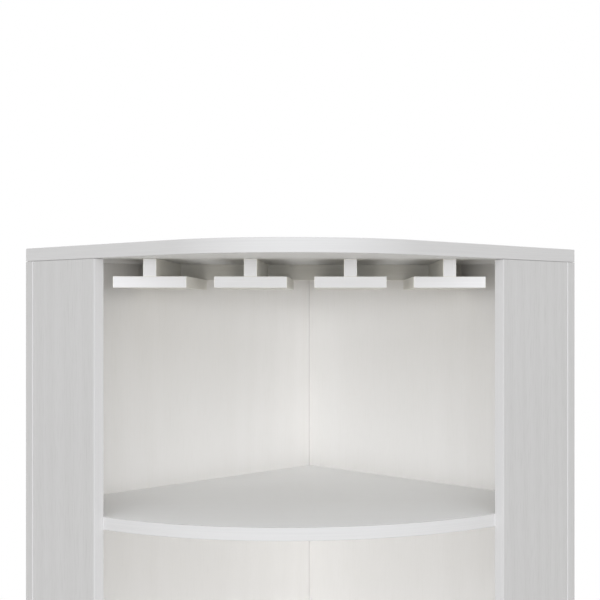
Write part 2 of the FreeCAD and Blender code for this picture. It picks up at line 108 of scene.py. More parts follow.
def add_node(
    tree: bpy.types.NodeTree, kind: str, inputs: dict | None = None, **settings: object
) -> bpy.types.Node:
    """Adds a node to a tree, with its settings and links.

    Args:
        tree: The tree of a material or of the world.
        kind: The node's type, such as ShaderNodeBump.
        inputs: For each input, by name or number, a value or the output that feeds it.
        settings: The node's own properties.

    Returns:
        The new node.
    """
    node = tree.nodes.new(kind)
    for name, value in settings.items():
        setattr(node, name, value)
    for name, value in (inputs or {}).items():
        if isinstance(value, bpy.types.NodeSocket):
            tree.links.new(value, node.inputs[name])
        else:
            node.inputs[name].default_value = value
    return node


def start_material(name: str) -> bpy.types.Material:
    """Makes a material with an empty node tree.

    Args:
        name: What the finish is.

    Returns:
        The material.
    """
    material = bpy.data.materials.new(name)
    material.use_nodes = True
    material.node_tree.nodes.clear()
    return material


def close_material(material: bpy.types.Material, inputs: dict) -> bpy.types.Material:
    """Ends a material in a Principled shader.

    Args:
        material: The material.
        inputs: The shader's values and links.

    Returns:
        The same material.
    """
    tree = material.node_tree
    shader = add_node(tree, "ShaderNodeBsdfPrincipled", inputs)
    add_node(tree, "ShaderNodeOutputMaterial", {"Surface": shader.outputs["BSDF"]})
    return material


@dataclass(frozen=True)
class EmbossedLaminate:
    """Melamine-faced board pressed between plates etched with a wood grain.

    The eye gets a satin, nearly white skin. Its fine pores run one way and are a shade darker,
    and a faint figure of growth rings lies under them.

    Attributes:
        pore_levels: The levels of the noise where a pore starts and where it is full.
        relief: How much of the pores' depth shows.
        ring_start: Where in the rings' pattern a board's own origin lies.
        ring_tilt: How the rings lean about X and Y, in degrees.
        ring_bend: How far the rings stray from their round.
        pore_share: The pores' part in the darker tone. The rings and patches have theirs.
        joint_shade_share: How dark the painted shade in the inner corner's joint is, or 0 for
            none.
        joint_shade_reach: How far the painted joint shade reaches on each side.
        joint_shade_behind: The Y from which a face is outside the room, where no painted joint
            shade shows.
    """

    skin: str
    pore: str
    roughness: float = 0.5
    pore_roughness: float = 0.6
    pore_width: float = 1.7 * MM
    pore_length: float = 34 * MM
    pore_depth: float = 0.12 * MM
    pore_levels: tuple[float, float] = (0.5, 0.72)
    relief: float = 0.5
    ring_width: float = 26 * MM
    ring_length: float = 420 * MM
    ring_start: tuple[float, float, float] = (0.4, 0.9, 0.0)
    ring_tilt: tuple[float, float] = (24.0, 17.0)
    ring_bend: float = 5.0
    patch_size: float = 240 * MM
    pore_share: float = 0.45
    ring_share: float = 0.22
    patch_share: float = 0.25
    # The seam fields paint shade down the inner corner's joint.
    joint_shade_share: float = 0.0
    joint_shade_reach: float = 1.3 * MM
    joint_shade_colour: str = "#6E6A63"
    joint_shade_behind: float = 330 * MM

    def material(self, name: str, grain: Grain) -> bpy.types.Material:
        """Builds the finish for one direction of the grain.

        The real pores are 0.3 mm wide. They are drawn six times as coarse, and the rails' nine
        times, as wide as they need to be to show.

        Args:
            name: The material's name.
            grain: Which way the grain runs.

        Returns:
            The material.
        """
        material = start_material(name)
        tree = material.node_tree
        place = add_node(tree, "ShaderNodeTexCoord").outputs["Object"]
        pore_space = add_node(
            tree, "ShaderNodeMapping",
            {"Vector": place, "Scale": grain.scale(self.pore_width, self.pore_length)},
        )
        pores = add_node(
            tree, "ShaderNodeTexNoise",
            {"Vector": pore_space.outputs[0], "Scale": 1.0, "Detail": 3.0, "Roughness": 0.6},
        )
        start, full = self.pore_levels
        pore_mask = add_node(
            tree, "ShaderNodeMapRange",
            {"Value": pores.outputs[0], "From Min": start, "From Max": full},
        )
        lean_x, lean_y = self.ring_tilt
        ring_space = add_node(
            tree, "ShaderNodeMapping",
            {
                "Vector": place,
                "Location": self.ring_start,
                "Rotation": (math.radians(lean_x), math.radians(lean_y), 0),
                "Scale": grain.scale(self.ring_width, self.ring_length),
            },
        )
        rings = add_node(
            tree, "ShaderNodeTexWave",
            {
                "Vector": ring_space.outputs[0], "Scale": WAVE_SCALE,
                "Distortion": self.ring_bend,
                "Detail": 3.0, "Detail Scale": 0.9, "Detail Roughness": 0.6,
            },
            wave_type="RINGS", rings_direction="X" if grain is Grain.LEVEL else "Z",
        )
        patches = add_node(
            tree, "ShaderNodeTexNoise",
            {"Vector": place, "Scale": 1 / self.patch_size, "Detail": 2.0},
        )
        tone = 0.0
        for part, share in (
            (patches.outputs[0], self.patch_share),
            (rings.outputs["Fac"], self.ring_share),
            (pore_mask.outputs[0], self.pore_share),
        ):
            tone = add_node(
                tree, "ShaderNodeMath", {0: part, 1: share, 2: tone},
                operation="MULTIPLY_ADD", use_clamp=True,
            ).outputs[0]
        colour = add_node(
            tree, "ShaderNodeMix",
            {"Factor": tone, "A": to_linear(self.skin), "B": to_linear(self.pore)},
            data_type="RGBA",
        )
        skin = colour.outputs["Result"]
        # Painted shade: a thin dark line down the joint in the inner corner.
        if self.joint_shade_share:
            skin = self._seam(tree, place, skin)
        gloss = add_node(
            tree, "ShaderNodeMapRange",
            {"Value": tone, "To Min": self.roughness, "To Max": self.pore_roughness},
        )
        relief = add_node(
            tree, "ShaderNodeBump",
            {"Height": tone, "Strength": self.relief, "Distance": self.pore_depth},
            invert=True,
        )
        return close_material(
            material,
            {
                "Base Color": skin, "Roughness": gloss.outputs[0],
                "IOR": POLYMER_IOR, "Normal": relief.outputs[0],
            },
        )

    def _seam(
        self, tree: bpy.types.NodeTree, place: bpy.types.NodeSocket, skin: bpy.types.NodeSocket
    ) -> bpy.types.NodeSocket:
        """Paints shade along the joint in the inner corner, where two panels meet at X 0.

        The eye gets the thin dark line that parts the panels, which is painted shade.

        Args:
            tree: The material's tree.
            place: The object's coordinates.
            skin: The laminate's colour.

        Returns:
            The colour with the painted joint shade over it.
        """
        axes = add_node(tree, "ShaderNodeSeparateXYZ", {0: place}).outputs
        off_corner = add_node(tree, "ShaderNodeMath", {0: axes["X"]}, operation="ABSOLUTE")
        near = add_node(
            tree, "ShaderNodeMapRange",
            {
                "Value": off_corner.outputs[0], "From Max": self.joint_shade_reach,
                "To Min": self.joint_shade_share, "To Max": 0.0,
            },
        )
        inside = add_node(
            tree, "ShaderNodeMath", {0: axes["Y"], 1: self.joint_shade_behind}, operation="LESS_THAN"
        )
        share = add_node(
            tree, "ShaderNodeMath", {0: near.outputs[0], 1: inside.outputs[0]},
            operation="MULTIPLY",
        )
        return add_node(
            tree, "ShaderNodeMix",
            {"Factor": share.outputs[0], "A": skin, "B": to_linear(self.joint_shade_colour)},
            data_type="RGBA",
        ).outputs["Result"]


@dataclass(frozen=True)
class StreakedPlastic:
    """Extruded or moulded plastic.

    The eye gets a smooth skin with faint streaks the way it was drawn, and a soft gloss.
    """

    colour: str
    streak: str
    roughness: float = 0.34
    roughness_spread: float = 0.08
    streak_width: float = 1.6 * MM
    streak_length: float = 160 * MM
    streak_depth: float = 0.03 * MM
    relief: float = 0.4

    def material(self, name: str, grain: Grain) -> bpy.types.Material:
        """Builds the finish.

        Args:
            name: The material's name.
            grain: Which way it was drawn.

        Returns:
            The material.
        """
        material = start_material(name)
        tree = material.node_tree
        place = add_node(tree, "ShaderNodeTexCoord").outputs["Object"]
        space = add_node(
            tree, "ShaderNodeMapping",
            {"Vector": place, "Scale": grain.scale(self.streak_width, self.streak_length)},
        )
        streaks = add_node(
            tree, "ShaderNodeTexNoise",
            {"Vector": space.outputs[0], "Scale": 1.0, "Detail": 3.0, "Roughness": 0.55},
        ).outputs[0]
        colour = add_node(
            tree, "ShaderNodeMix",
            {"Factor": streaks, "A": to_linear(self.colour), "B": to_linear(self.streak)},
            data_type="RGBA",
        )
        gloss = add_node(
            tree, "ShaderNodeMapRange",
            {
                "Value": streaks, "To Min": self.roughness,
                "To Max": self.roughness + self.roughness_spread,
            },
        )
        relief = add_node(
            tree, "ShaderNodeBump",
            {"Height": streaks, "Strength": self.relief, "Distance": self.streak_depth},
        )
        return close_material(
            material,
            {
                "Base Color": colour.outputs["Result"], "Roughness": gloss.outputs[0],
                "IOR": POLYMER_IOR, "Normal": relief.outputs[0],
            },
        )


@dataclass(frozen=True)
class PlatedMetal:
    """Steel or zinc alloy under a thin plating.

    The eye gets a grey or warm metal whose gloss wanders a little over marks of the polishing.
    """

    colour: str
    dull: str
    roughness: float
    smoother: float = 0.06
    rougher: float = 0.1
    mark_width: float = 0.5 * MM
    mark_length: float = 6 * MM
    mark_depth: float = 0.01 * MM
    relief: float = 0.3

    def material(self, name: str, grain: Grain) -> bpy.types.Material:
        """Builds the finish.

        Args:
            name: The material's name.
            grain: Which way the polishing marks run.

        Returns:
            The material.
        """
        material = start_material(name)
        tree = material.node_tree
        place = add_node(tree, "ShaderNodeTexCoord").outputs["Object"]
        space = add_node(
            tree, "ShaderNodeMapping",
            {"Vector": place, "Scale": grain.scale(self.mark_width, self.mark_length)},
        )
        marks = add_node(
            tree, "ShaderNodeTexNoise",
            {"Vector": space.outputs[0], "Scale": 1.0, "Detail": 2.0},
        ).outputs[0]
        colour = add_node(
            tree, "ShaderNodeMix",
            {"Factor": marks, "A": to_linear(self.colour), "B": to_linear(self.dull)},
            data_type="RGBA",
        )
        gloss = add_node(
            tree, "ShaderNodeMapRange",
            {
                "Value": marks, "To Min": self.roughness - self.smoother,
                "To Max": self.roughness + self.rougher,
            },
        )
        relief = add_node(
            tree, "ShaderNodeBump",
            {"Height": marks, "Strength": self.relief, "Distance": self.mark_depth},
        )
        return close_material(
            material,
            {
                "Base Color": colour.outputs["Result"], "Roughness": gloss.outputs[0],
                "Metallic": 1.0, "Normal": relief.outputs[0],
            },
        )


@dataclass(frozen=True)
class RawBeech:
    """Turned beech without a finish: pale, matt, and flecked with short dark rays."""

    wood: str = "#D8B48C"
    ray: str = "#B98A5E"
    roughness: float = 0.7
    ray_width: float = 0.7 * MM
    ray_length: float = 5 * MM
    ray_depth: float = 0.05 * MM
    ray_levels: tuple[float, float] = (0.5, 0.7)
    relief: float = 0.4

    def material(self, name: str) -> bpy.types.Material:
        """Builds the finish.

        Args:
            name: The material's name.

        Returns:
            The material.
        """
        material = start_material(name)
        tree = material.node_tree
        place = add_node(tree, "ShaderNodeTexCoord").outputs["Object"]
        space = add_node(
            tree, "ShaderNodeMapping",
            {"Vector": place, "Scale": Grain.UPRIGHT.scale(self.ray_width, self.ray_length)},
        )
        rays = add_node(
            tree, "ShaderNodeTexNoise", {"Vector": space.outputs[0], "Scale": 1.0, "Detail": 3.0}
        ).outputs[0]
        start, full = self.ray_levels
        mask = add_node(
            tree, "ShaderNodeMapRange", {"Value": rays, "From Min": start, "From Max": full}
        ).outputs[0]
        colour = add_node(
            tree, "ShaderNodeMix",
            {"Factor": mask, "A": to_linear(self.wood), "B": to_linear(self.ray)},
            data_type="RGBA",
        )
        relief = add_node(
            tree, "ShaderNodeBump",
            {"Height": mask, "Strength": self.relief, "Distance": self.ray_depth},
            invert=True,
        )
        return close_material(
            material,
            {
                "Base Color": colour.outputs["Result"], "Roughness": self.roughness,
                "Normal": relief.outputs[0],
            },
        )


@dataclass
class Finishes:
    """The finishes of the whole cabinet, each built once.

    One white under the studio's lights doesn't give every tone of the photograph. So the boards
    that face the room and the bands on the edges, though the same laminate as the boards inside,
    are painted a shade greyer: painted shade.
    """

    upright_board: bpy.types.Material = field(init=False)
    level_board: bpy.types.Material = field(init=False)
    top_board: bpy.types.Material = field(init=False)
    rail_board: bpy.types.Material = field(init=False)
    facing: bpy.types.Material = field(init=False)
    level_facing: bpy.types.Material = field(init=False)
    level_edging: bpy.types.Material = field(init=False)
    upright_edging: bpy.types.Material = field(init=False)
    rack_edging: bpy.types.Material = field(init=False)
    zinc_steel: bpy.types.Material = field(init=False)
    satin_nickel: bpy.types.Material = field(init=False)
    beech: bpy.types.Material = field(init=False)
    nylon: bpy.types.Material = field(init=False)
    catch_housing: bpy.types.Material = field(init=False)

    def __post_init__(self) -> None:
        """Builds the materials."""
        # The panels get painted shade down the inner corner's joint.
        panel = EmbossedLaminate("#F6F3EF", "#F0EDE8", joint_shade_share=0.14)
        self.upright_board = panel.material("embossed_laminate_upright", Grain.UPRIGHT)
        level = EmbossedLaminate("#FAFAF9", "#F5F4F3")
        self.level_board = level.material("embossed_laminate_level", Grain.LEVEL)
        # The top is duller, and drawn greyer as painted shade, so that its face stays clear of
        # white under the lights from behind.
        cover = EmbossedLaminate("#F1F0EE", "#EBEAE7", roughness=0.6, pore_roughness=0.7)
        self.top_board = cover.material("embossed_laminate_top", Grain.LEVEL)
        # The rails are warmer than the panels, a painted warmth of the shade under the top, with a
        # coarser and longer grain.
        shade_warmed_rail = EmbossedLaminate("#F6F3EB", "#EAE6DC", pore_width=2.6 * MM, pore_length=60 * MM)
        self.rail_board = shade_warmed_rail.material("embossed_laminate_rail", Grain.LEVEL)
        # The stiles, doors and plinth face the light, so they are drawn a shade greyer as painted
        # shade, with a narrower and fainter figure.
        facing = EmbossedLaminate("#CECCCA", "#BEBCB9", ring_width=13 * MM, ring_share=0.15)
        self.facing = facing.material("embossed_facing_upright", Grain.UPRIGHT)
        self.level_facing = facing.material("embossed_facing_level", Grain.LEVEL)
        edging = StreakedPlastic("#D6D4D2", "#CAC8C6", roughness=0.52)
        self.level_edging = edging.material("abs_edging_level", Grain.AROUND)
        # The stiles' bands and the rails' bands are paler than the level ones, in steps: lighter
        # copies of one edging, painted light.
        lighter = StreakedPlastic("#DBD9D8", "#D1CFCD", roughness=0.52)
        self.upright_edging = lighter.material("abs_edging_upright", Grain.UPRIGHT)
        pale = StreakedPlastic("#E7E5E4", "#DDDBD9", roughness=0.62)
        self.rack_edging = pale.material("abs_edging_rack", Grain.LEVEL)
        steel = PlatedMetal("#C9CBCC", "#AEB1B3", roughness=0.34)
        self.zinc_steel = steel.material("zinc_plated_steel", Grain.UPRIGHT)
        nickel = PlatedMetal("#C4BEB4", "#A8A298", roughness=0.3)
        self.satin_nickel = nickel.material("satin_nickel", Grain.LEVEL)
        self.beech = RawBeech().material("raw_beech")
        # Moulded plastic has short flow marks where drawn edging has long streaks.
        nylon = StreakedPlastic(
            "#ECEAE4", "#E2E0D9", roughness=0.5, streak_width=2 * MM, streak_length=4 * MM
        )
        self.nylon = nylon.material("moulded_nylon", Grain.UPRIGHT)
        housing = StreakedPlastic(
            "#E2E0DB", "#D8D6D0", roughness=0.42, streak_width=1 * MM, streak_length=2 * MM
        )
        self.catch_housing = housing.material("moulded_abs", Grain.LEVEL)


def dress(names: list[str], material: bpy.types.Material) -> None:
    """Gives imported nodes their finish.

    Args:
        names: The nodes.
        material: The finish.
    """
    for name in names:
        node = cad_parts[name]
        if not node.material_slots:
            node.data.materials.append(material)
        for slot in node.material_slots:
            slot.material = material
        LOG.info("dressed %s in %s", name, material.name)


@contextmanager
def editing(piece: bpy.types.Object) -> Iterator[None]:
    """Puts one piece alone in edit mode, with nothing in it selected.

    Args:
        piece: The piece.

    Yields:
        Nothing, while the piece is in edit mode.
    """
    bpy.ops.object.select_all(action="DESELECT")
    piece.select_set(True)
    bpy.context.view_layer.objects.active = piece
    bpy.ops.object.mode_set(mode="EDIT")
    bpy.ops.mesh.select_all(action="DESELECT")
    yield
    bpy.ops.object.mode_set(mode="OBJECT")


def pick_edges(piece: bpy.types.Object, wanted: Callable[[Vector, Vector], bool]) -> None:
    """Selects edges of the piece in edit mode by where their ends are.

    Args:
        piece: The piece in edit mode.
        wanted: Says whether the edge between two points is picked.
    """
    bpy.ops.mesh.select_mode(type="EDGE")
    bpy.ops.mesh.select_all(action="DESELECT")
    mesh = bmesh.from_edit_mesh(piece.data)
    for edge in [e for e in mesh.edges if wanted(e.verts[0].co, e.verts[1].co)]:
        edge.select_set(True)
    bmesh.update_edit_mesh(piece.data)


def pick_faces(piece: bpy.types.Object, wanted: Callable[[Vector, Vector], bool]) -> None:
    """Selects faces of the piece in edit mode by their middle and normal.

    Args:
        piece: The piece in edit mode.
        wanted: Says whether the face with this middle and normal is picked.
    """
    bpy.ops.mesh.select_mode(type="FACE")
    bpy.ops.mesh.select_all(action="DESELECT")
    mesh = bmesh.from_edit_mesh(piece.data)
    for face in [f for f in mesh.faces if wanted(f.calc_center_median(), f.normal)]:
        face.select_set(True)
    bmesh.update_edit_mesh(piece.data)


def fix_place(piece: bpy.types.Object) -> None:
    """Moves a new primitive's place, turn and size into its mesh."""
    bpy.ops.object.transform_apply(location=True, rotation=True, scale=True)
    piece.data.name = piece.name


def finish_piece(piece: bpy.types.Object, body: str, material: bpy.types.Material) -> None:
    """Shades a new piece, its flats flat and its arrises round, and fastens it to its body.

    Args:
        piece: The piece, with its place in its mesh.
        body: The body that it moves with.
        material: Its finish.
    """
    bpy.ops.object.select_all(action="DESELECT")
    piece.select_set(True)
    bpy.context.view_layer.objects.active = piece
    bpy.ops.object.shade_smooth_by_angle(angle=ROUNDED_BELOW)
    bpy.ops.object.modifier_add(type="WEIGHTED_NORMAL")
    piece.modifiers[-1].keep_sharp = True
    bpy.ops.object.modifier_apply(modifier=piece.modifiers[-1].name)
    piece.data.materials.append(material)
    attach(piece, body)
    LOG.info("made %s on %s, %d faces", piece.name, body, len(piece.data.polygons))


@dataclass(frozen=True)
class Plan:
    """The cabinet's plan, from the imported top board's box and the sizes of its sides.

    Each side has two directions. Along runs on the wall panel from its free end to the back
    corner. Inward is square to it, which is the way that the stile goes.

    Attributes:
        half_width: Half the top's width, from wall end to wall end.
        wall_end_y: Where the wall ends' outer corners lie.
        stile_reach: The wall's thickness and the stile's width together.
        front_radius: The radius of the top's and the counter's rounded front.
        shelf_bow: How far the display shelf comes forward of the stiles.
        shadow_line: The height of the thin dark line under the top.
        loose_shelf_gap: The room between the cupboard's loose shelf and the sides.
    """

    half_width: float
    wall_end_y: float
    wall_thickness: float = 18 * MM
    stile_reach: float = 170 * MM
    stile_thickness: float = 14 * MM
    front_radius: float = 208 * MM
    shelf_bow: float = 84 * MM
    shadow_line: float = 0.7 * MM
    loose_shelf_gap: float = 2 * MM

    @classmethod
    def from_frame(cls) -> "Plan":
        """Reads the width and the wall ends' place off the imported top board."""
        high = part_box("top_board")[1]
        return cls(half_width=high.x, wall_end_y=high.y - high.x)

    def vector(self, side: Side, along: float, inward: float) -> Vector:
        """Gives the plan vector of a length along a wall panel and one square to it."""
        sign = side.value
        return Vector((-sign * (along + inward), along - inward, 0)) * DIAGONAL

    def point(self, side: Side, along: float, inward: float) -> Vector:
        """Gives the plan point at lengths from the outer corner of a side's wall end."""
        corner = Vector((side.value * self.half_width, self.wall_end_y, 0))
        return corner + self.vector(side, along, inward)

    @property
    def stile_arris(self) -> Vector:
        """The right stile's front arris, where the bay's opening starts."""
        return self.point(Side.RIGHT, self.stile_thickness, self.stile_reach)

    @property
    def tangent_x(self) -> float:
        """How far from the middle the top's rounded front goes over into its straight ends."""
        return self.front_radius * DIAGONAL

    @property
    def front_centre_y(self) -> float:
        """The centre of the top's rounded front."""
        return self.wall_end_y - (self.half_width - 2 * self.tangent_x)


@dataclass
class EdgeBander:
    """Makes bands of ABS edging: thin strips that cover a board's edge and round its arrises.

    Attributes:
        proud: How far a band stands out from its board.
        lap: How far its ends run past the board's.
        fine_arris: The arris of the sides' and the cupboard's bands, too fine to catch the light.
        joint_arris: The rounder arris of a wall end's band, at the joint with the stile.
        corner_angle: The least turn of an edge that is an arris, not a step of an arc.
        end_facing: How nearly a face has to look along the run to be the band's end.
        highlight_share: How far a face has to look along the run to get the painted highlight on
            the joint's arris.
    """

    proud: float = 0.1 * MM
    lap: float = 0.04 * MM
    thickness: float = 2.0 * MM
    arris: float = 0.8 * MM
    fine_arris: float = 0.3 * MM
    joint_arris: float = 1.6 * MM
    arc_steps: int = 72
    round_steps: int = 3
    corner_angle: float = math.radians(60)
    end_facing: float = 0.999
    highlight_share: float = 0.2

    def straight(
        self, name: str, ends: tuple[Vector, Vector], outward: Vector,
        heights: tuple[float, float], arris: float, at_joint: bool = False,
    ) -> bpy.types.Object:
        """Makes a band along a straight edge.

        Args:
            name: The piece's name.
            ends: The plan points where the edge starts and ends.
            outward: The plan direction that the edge faces.
            heights: The lowest and highest Z of the edge.
            arris: The radius of the band's front arrises.
            at_joint: Whether the edge ends at a joint, where its arris is rounder.

        Returns:
            The band, with its front arrises rounded.
        """
        run = ends[1] - ends[0]
        middle = (ends[0] + ends[1]) / 2 + outward * (self.proud - self.thickness / 2)
        bpy.ops.object.select_all(action="DESELECT")
        bpy.ops.mesh.primitive_cube_add(
            size=1,
            location=(middle.x, middle.y, sum(heights) / 2),
            rotation=(0, 0, math.atan2(run.y, run.x)),
            scale=(run.length + 2 * self.lap, self.thickness, heights[1] - heights[0]),
        )
        band = bpy.context.object
        band.name = name
        fix_place(band)
        face = middle.dot(outward) + self.thickness / 2 - arris / 2
        half = middle.dot(run)
        with editing(band):
            if at_joint:
                pick_edges(band, lambda a, b: min(a.dot(outward), b.dot(outward)) > face
                           and min(a.dot(run), b.dot(run)) > half)
                self._round(self.joint_arris)
            pick_edges(band, lambda a, b: min(a.dot(outward), b.dot(outward)) > face
                       and (not at_joint or min(a.dot(run), b.dot(run)) < half))
            self._round(arris)
        return band

    def paint_joint_highlight(
        self, band: bpy.types.Object, ends: tuple[Vector, Vector], outward: Vector,
        material: bpy.types.Material,
    ) -> None:
        """Gives the rounder arris at a joint a paler finish: a painted highlight where the arris
        catches the light.

        Args:
            band: The band, with its own finish.
            ends: The plan points where the edge starts and ends.
            outward: The plan direction that the edge faces.
            material: The paler finish for the painted highlight.
        """
        band.data.materials.append(material)
        run = (ends[1] - ends[0]).normalized()
        for face in band.data.polygons:
            if min(face.normal.dot(run), face.normal.dot(outward)) > self.highlight_share:
                face.material_index = 1

    def _round(self, radius: float) -> None:
        """Rounds the edges that are selected in edit mode."""
        bpy.ops.mesh.bevel(
            offset=radius, offset_type="OFFSET", segments=self.round_steps, affect="EDGES"
        )

    def bowed(
        self, name: str, half_x: float, end_y: float, reach: float, run: float,
        heights: tuple[float, float],
    ) -> bpy.types.Object:
        """Makes a band round a bowed front, with a straight run on from both its ends.

        A profile is spun through the arc, and its two end faces are then drawn out.

        Args:
            name: The piece's name.
            half_x: Half the bow's width.
            end_y: The bow's ends' place in Y.
            reach: How far the bow comes forward of its ends.
            run: The length of the straight run at each end, or 0.
            heights: The lowest and highest Z of the edge.

        Returns:
            The band, with its long arrises rounded.
        """
        radius = (half_x ** 2 + reach ** 2) / (2 * reach)
        half_turn = math.asin(half_x / radius)
        centre_y = end_y - reach + radius
        outward = Vector((-math.sin(half_turn), -math.cos(half_turn), 0))
        middle = Vector((0, centre_y, 0)) + outward * (radius + self.proud - self.thickness / 2)
        bpy.ops.object.select_all(action="DESELECT")
        bpy.ops.mesh.primitive_plane_add(
            size=1,
            location=(middle.x, middle.y, sum(heights) / 2),
            rotation=(math.pi / 2, 0, math.atan2(outward.y, outward.x)),
        )
        band = bpy.context.object
        band.name = name
        band.scale = (self.thickness, heights[1] - heights[0], 1)
        fix_place(band)
        with editing(band):
            bpy.ops.mesh.select_all(action="SELECT")
            bpy.ops.mesh.spin(
                steps=self.arc_steps, angle=-2 * half_turn, center=(0, centre_y, 0), axis=(0, 0, 1)
            )
            bpy.ops.mesh.select_all(action="SELECT")
            bpy.ops.mesh.normals_make_consistent(inside=False)
            if run:
                for side in Side:
                    self._draw_out(band, side, half_turn, run)
        self._round_long_arrises(band)
        return band

    def _draw_out(self, band: bpy.types.Object, side: Side, half_turn: float, run: float) -> None:
        """Draws out the end face on one side, straight on from the arc."""
        ahead = Vector((side.value * math.cos(half_turn), math.sin(half_turn), 0))
        pick_faces(
            band,
            lambda middle, normal: (
                middle.x * side.value > 0 and normal.dot(ahead) > self.end_facing
            ),
        )
        bpy.ops.mesh.extrude_region_move(TRANSFORM_OT_translate={"value": ahead * run})

    def _round_long_arrises(self, band: bpy.types.Object) -> None:
        """Rounds every square edge with a Bevel modifier and applies it."""
        bpy.ops.object.select_all(action="DESELECT")
        band.select_set(True)
        bpy.context.view_layer.objects.active = band
        bpy.ops.object.modifier_add(type="BEVEL")
        bevel = band.modifiers[-1]
        bevel.width = self.arris
        bevel.segments = self.round_steps
        bevel.limit_method = "ANGLE"
        bevel.angle_limit = self.corner_angle
        bpy.ops.object.modifier_apply(modifier=bevel.name)


@dataclass
class Carcass:
    """The wall panels, stiles, top, shelves, counter and plinth, and the bands on their edges."""

    plan: Plan
    finishes: Finishes
    bander: EdgeBander

    def build(self) -> None:
        """Dresses the boards and bands their edges."""
        self._dress_boards()
        self._band_top()
        self._band_display_shelf()
        self._band_counter()
        self._band_cupboard()
        for side in Side:
            self._band_side(side)

    def _dress_boards(self) -> None:
        """Gives the boards their laminate, its grain upright on the sides and level elsewhere."""
        dress([f"wall_panel_{side.label}" for side in Side], self.finishes.upright_board)
        dress([f"stile_{side.label}" for side in Side], self.finishes.facing)
        dress(["top_board"], self.finishes.top_board)
        dress(["plinth_board"], self.finishes.level_facing)
        level = ["display_shelf", "counter_board", "base_board", "cupboard_shelf"]
        dress(level, self.finishes.level_board)

    def _heights(self, node: str) -> tuple[float, float]:
        """Gives the lowest and highest Z of a node."""
        low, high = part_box(node)
        return low.z, high.z

    def _band_top(self) -> None:
        """Bands the top's front: straight over the sides and rounded between them."""
        plan = self.plan
        run = (plan.half_width - plan.tangent_x) / DIAGONAL
        self._bow("edge_band_top", plan.tangent_x, run, "top_board")

    def _band_counter(self) -> None:
        """Bands the counter's front, which has the top's bow and ends at the stiles."""
        plan = self.plan
        end = plan.point(Side.RIGHT, 0, plan.stile_reach)
        run = (end.x - plan.tangent_x) / DIAGONAL
        self._bow("edge_band_counter", plan.tangent_x, run, "counter_board")

    def _bow(self, name: str, half_x: float, run: float, node: str) -> None:
        """Bands a front that has the top's bow."""
        plan = self.plan
        end_y = plan.front_centre_y - plan.tangent_x
        reach = plan.front_radius * (1 - DIAGONAL)
        band = self.bander.bowed(name, half_x, end_y, reach, run, self._heights(node))
        finish_piece(band, "cabinet", self.finishes.level_edging)

    def _band_display_shelf(self) -> None:
        """Bands the display shelf's bow, from stile to stile."""
        arris = self.plan.stile_arris
        band = self.bander.bowed(
            "edge_band_display_shelf", arris.x, arris.y, self.plan.shelf_bow, 0.0,
            self._heights("display_shelf"),
        )
        finish_piece(band, "cabinet", self.finishes.level_edging)

    def _band_cupboard(self) -> None:
        """Bands the straight fronts of the cupboard's floor and of its loose shelf."""
        arris = self.plan.stile_arris
        for node, gap in (("base_board", 0.0), ("cupboard_shelf", self.plan.loose_shelf_gap)):
            low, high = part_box(node)
            half_x = arris.x + low.y - arris.y - gap / DIAGONAL
            ends = (Vector((-half_x, low.y, 0)), Vector((half_x, low.y, 0)))
            band = self.bander.straight(
                f"edge_band_{node}", ends, FORWARD, (low.z, high.z), self.bander.fine_arris
            )
            finish_piece(band, "cabinet", self.finishes.level_edging)

    def _band_side(self, side: Side) -> None:
        """Bands a side's wall end and the stile's edge, up to the thin dark line under the top."""
        plan = self.plan
        bottom, top = self._heights(f"stile_{side.label}")
        heights = (bottom, top - plan.shadow_line)
        wall = (plan.point(side, 0, 0), plan.point(side, 0, plan.wall_thickness))
        out_of_end = plan.vector(side, -1, 0)
        band = self.bander.straight(
            f"edge_band_wall_{side.label}", wall, out_of_end, heights,
            self.bander.fine_arris, at_joint=True,
        )
        finish_piece(band, "cabinet", self.finishes.facing)
        # Painted highlight: the joint's arris gets the paler finish.
        self.bander.paint_joint_highlight(band, wall, out_of_end, self.finishes.upright_edging)
        stile = (
            plan.point(side, 0, plan.stile_reach),
            plan.point(side, plan.stile_thickness, plan.stile_reach),
        )
        band = self.bander.straight(
            f"edge_band_stile_{side.label}", stile, plan.vector(side, 0, 1), heights,
            self.bander.fine_arris,
        )
        finish_piece(band, "cabinet", self.finishes.upright_edging)


@dataclass
class StemwareRack:
    """The four T-shaped rails under the top, and the rail that they end on."""

    plan: Plan
    finishes: Finishes
    bander: EdgeBander
    rail_count: int = 4

    def build(self) -> None:
        """Dresses the rails and bands their fronts."""
        dress(["stemware_back_rail"], self.finishes.rail_board)
        for number in range(1, self.rail_count + 1):
            self._build_part(f"stemware_web_{number}", self.plan.shadow_line)
            self._build_part(f"stemware_flange_{number}", 0.0)

    def _build_part(self, node: str, gap: float) -> None:
        """Dresses a web or a flange and bands its front end.

        Args:
            node: The web or flange.
            gap: How far below the part's top its band ends.
        """
        dress([node], self.finishes.rail_board)
        low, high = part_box(node)
        ends = (Vector((low.x, low.y, 0)), Vector((high.x, low.y, 0)))
        name = node.replace("stemware", "edge_band")
        heights = (low.z, high.z - gap)
        band = self.bander.straight(name, ends, FORWARD, heights, self.bander.arris)
        finish_piece(band, "cabinet", self.finishes.rack_edging)


